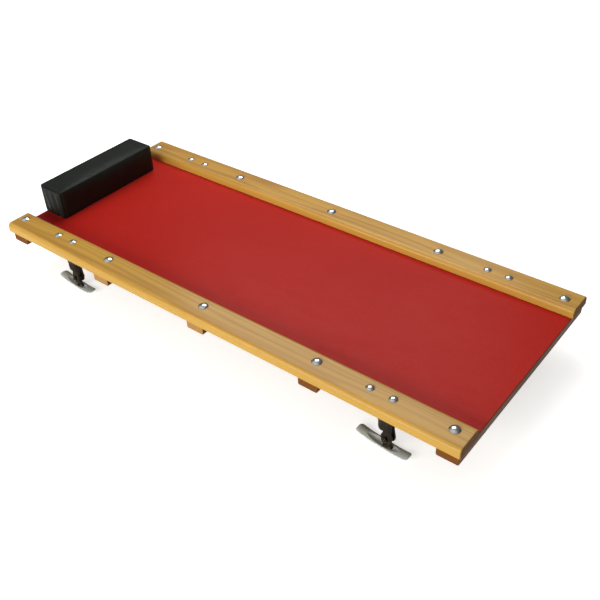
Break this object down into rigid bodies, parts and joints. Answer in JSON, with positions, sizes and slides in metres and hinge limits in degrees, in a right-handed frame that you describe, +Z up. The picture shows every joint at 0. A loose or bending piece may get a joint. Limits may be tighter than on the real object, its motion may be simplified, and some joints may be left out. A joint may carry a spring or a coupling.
{
  "type": "mechanics creeper",
  "caption": "Low wooden creeper with a flat red deck between varnished rails, a vinyl head cushion and swivelling steel skid feet, to lie on under a car.",
  "frame": {"origin": "centre of the footprint, on the floor under the platform", "axes": "+X along the length towards the foot end, +Y towards the left hand of a person lying face up with their head on the cushion, +Z up"},
  "size_m": [1.016, 0.432, 0.15],
  "materials": {
    "varnished_rail": "gloss varnish",
    "slat_wood": "satin stain",
    "red_deck": "satin paint on hardboard",
    "black_vinyl": "grained vinyl",
    "plywood": "raw",
    "bright_zinc": "zinc plate",
    "polished_steel": "satin polished",
    "blacked_steel": "black oxide"
  },
  "bodies": {
    "platform": {"rail_right": "varnished_rail", "rail_left": "varnished_rail", "deck_panel": "red_deck", "slat_1_head": "slat_wood", "slat_2": "slat_wood", "slat_3": "slat_wood", "slat_4": "slat_wood", "slat_5_foot": "slat_wood", "headrest_board": "plywood", "headrest_cushion": "black_vinyl", "headrest_screw_right": "bright_zinc", "headrest_screw_left": "bright_zinc", "slat_bolt_right_1": "bright_zinc", "slat_bolt_right_2": "bright_zinc", "slat_bolt_right_3": "bright_zinc", "slat_bolt_right_4": "bright_zinc", "slat_bolt_right_5": "bright_zinc", "slat_bolt_left_1": "bright_zinc", "slat_bolt_left_2": "bright_zinc", "slat_bolt_left_3": "bright_zinc", "slat_bolt_left_4": "bright_zinc", "slat_bolt_left_5": "bright_zinc", "plate_bolt_head_right_1": "bright_zinc", "plate_bolt_head_right_2": "bright_zinc", "foot_plate_head_right": "blacked_steel", "kingpin_head_right": "bright_zinc", "plate_bolt_head_left_1": "bright_zinc", "plate_bolt_head_left_2": "bright_zinc", "foot_plate_head_left": "blacked_steel", "kingpin_head_left": "bright_zinc", "plate_bolt_foot_right_1": "bright_zinc", "plate_bolt_foot_right_2": "bright_zinc", "foot_plate_foot_right": "blacked_steel", "kingpin_foot_right": "bright_zinc", "plate_bolt_foot_left_1": "bright_zinc", "plate_bolt_foot_left_2": "bright_zinc", "foot_plate_foot_left": "blacked_steel", "kingpin_foot_left": "bright_zinc"},
    "swivel_head_right": {"swivel_fork_head_right": "blacked_steel", "pivot_pin_head_right": "blacked_steel", "ball_ring_head_right": "polished_steel"},
    "skid_head_right": {"skid_shoe_head_right": "polished_steel"},
    "swivel_head_left": {"swivel_fork_head_left": "blacked_steel", "pivot_pin_head_left": "blacked_steel", "ball_ring_head_left": "polished_steel"},
    "skid_head_left": {"skid_shoe_head_left": "polished_steel"},
    "swivel_foot_right": {"swivel_fork_foot_right": "blacked_steel", "pivot_pin_foot_right": "blacked_steel", "ball_ring_foot_right": "polished_steel"},
    "skid_foot_right": {"skid_shoe_foot_right": "polished_steel"},
    "swivel_foot_left": {"swivel_fork_foot_left": "blacked_steel", "pivot_pin_foot_left": "blacked_steel", "ball_ring_foot_left": "polished_steel"},
    "skid_foot_left": {"skid_shoe_foot_left": "polished_steel"}
  },
  "joints": [
    {"name": "turn_head_right", "type": "hinge", "parent": "platform", "child": "swivel_head_right", "pos_m": [-0.3615, -0.185, 0.06], "axis": [0, 0, 1], "continuous": true},
    {"name": "rock_head_right", "type": "hinge", "parent": "swivel_head_right", "child": "skid_head_right", "pos_m": [-0.35253, -0.18578, 0.022], "axis": [0.0872, 0.9962, 0], "range_deg": [-12, 12]},
    {"name": "turn_head_left", "type": "hinge", "parent": "platform", "child": "swivel_head_left", "pos_m": [-0.3615, 0.185, 0.06], "axis": [0, 0, 1], "continuous": true},
    {"name": "rock_head_left", "type": "hinge", "parent": "swivel_head_left", "child": "skid_head_left", "pos_m": [-0.35253, 0.18578, 0.022], "axis": [-0.0872, 0.9962, 0], "range_deg": [-12, 12]},
    {"name": "turn_foot_right", "type": "hinge", "parent": "platform", "child": "swivel_foot_right", "pos_m": [0.3635, -0.185, 0.06], "axis": [0, 0, 1], "continuous": true},
    {"name": "rock_foot_right", "type": "hinge", "parent": "swivel_foot_right", "child": "skid_foot_right", "pos_m": [0.37247, -0.18578, 0.022], "axis": [0.0872, 0.9962, 0], "range_deg": [-12, 12]},
    {"name": "turn_foot_left", "type": "hinge", "parent": "platform", "child": "swivel_foot_left", "pos_m": [0.3635, 0.185, 0.06], "axis": [0, 0, 1], "continuous": true},
    {"name": "rock_foot_left", "type": "hinge", "parent": "swivel_foot_left", "child": "skid_foot_left", "pos_m": [0.37247, 0.18578, 0.022], "axis": [-0.0872, 0.9962, 0], "range_deg": [-12, 12]}
  ]
}
